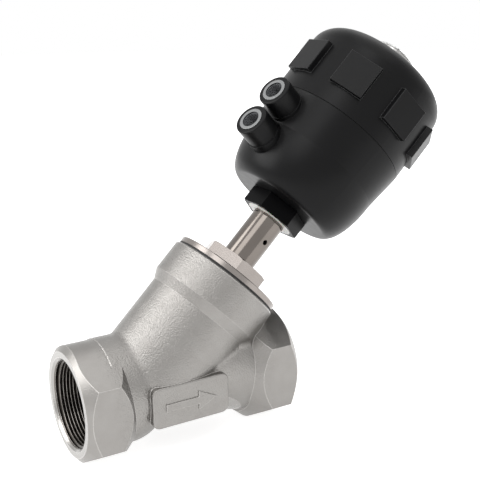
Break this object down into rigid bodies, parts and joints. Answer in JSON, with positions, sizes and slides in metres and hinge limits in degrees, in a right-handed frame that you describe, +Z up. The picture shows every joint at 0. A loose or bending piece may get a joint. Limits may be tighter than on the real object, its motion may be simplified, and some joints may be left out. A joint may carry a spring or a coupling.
{
  "type": "pneumatic angle seat valve",
  "caption": "Air-operated angle seat valve: cast stainless body with threaded hexagon ends and a black plastic piston actuator on an inclined stem.",
  "frame": {"origin": "where the pipe's axis meets the stem's axis", "axes": "+X along the pipe from inlet to outlet, +Z up, stem inclined 44.5 degrees from +X towards +Z, -Y to the front"},
  "size_m": [0.2768, 0.1108, 0.2623],
  "materials": {
    "cast_stainless": "blasted stainless casting",
    "turned_stainless": "turned and polished stainless",
    "zinc_steel": "plated steel",
    "spring_steel": "bright spring wire",
    "black_plastic": "satin moulded polyamide",
    "black_nut": "moulded polyamide",
    "white_plastic": "moulded white plastic",
    "grey_insert": "turned, dull",
    "piston_aluminium": "turned casting",
    "ptfe": "white fluoropolymer",
    "bronze": "sintered bronze",
    "seal_rubber": "black seal rubber",
    "indicator_red": "red moulded plastic",
    "chrome_ring": "bright plated",
    "clear_window": "clear moulded plastic"
  },
  "bodies": {
    "valve": {"valve_body": "cast_stainless", "bonnet_gasket": "seal_rubber", "bonnet": "turned_stainless", "neck_tube": "turned_stainless", "packing_bottom_ring": "ptfe", "packing_v_rings": "ptfe", "packing_washer": "turned_stainless", "packing_spring": "spring_steel", "guide_bush": "bronze", "wiper": "seal_rubber", "actuator_nut": "black_nut", "nut_ring": "white_plastic"},
    "stem": {"stem": "turned_stainless", "plug": "turned_stainless", "seat_disc": "ptfe", "disc_washer": "turned_stainless", "disc_nut": "turned_stainless", "piston": "piston_aluminium", "piston_seal": "seal_rubber", "piston_guide_ring": "ptfe", "piston_washer": "zinc_steel", "piston_nut": "zinc_steel", "indicator_rod": "indicator_red"},
    "actuator": {"actuator_housing": "black_plastic", "housing_o_ring": "seal_rubber", "port_insert_lower": "grey_insert", "port_insert_upper": "grey_insert", "actuator_cap": "black_plastic", "outer_spring": "spring_steel", "inner_spring": "spring_steel", "spring_plate": "zinc_steel", "indicator_ring": "chrome_ring", "indicator_window": "clear_window", "indicator_o_ring": "seal_rubber"}
  },
  "joints": [
    {"name": "stem_travel", "type": "slide", "parent": "valve", "child": "stem", "axis": [0.7133, 0, 0.7009], "range_m": [0, 0.02], "stiffness_N_per_m": 6000, "springref_m": -0.03, "deforming": ["outer_spring", "inner_spring"]},
    {"name": "actuator_swivel", "type": "hinge", "parent": "valve", "child": "actuator", "pos_m": [0.11412, 0, 0.11214], "axis": [0.7133, 0, 0.7009], "continuous": true}
  ]
}
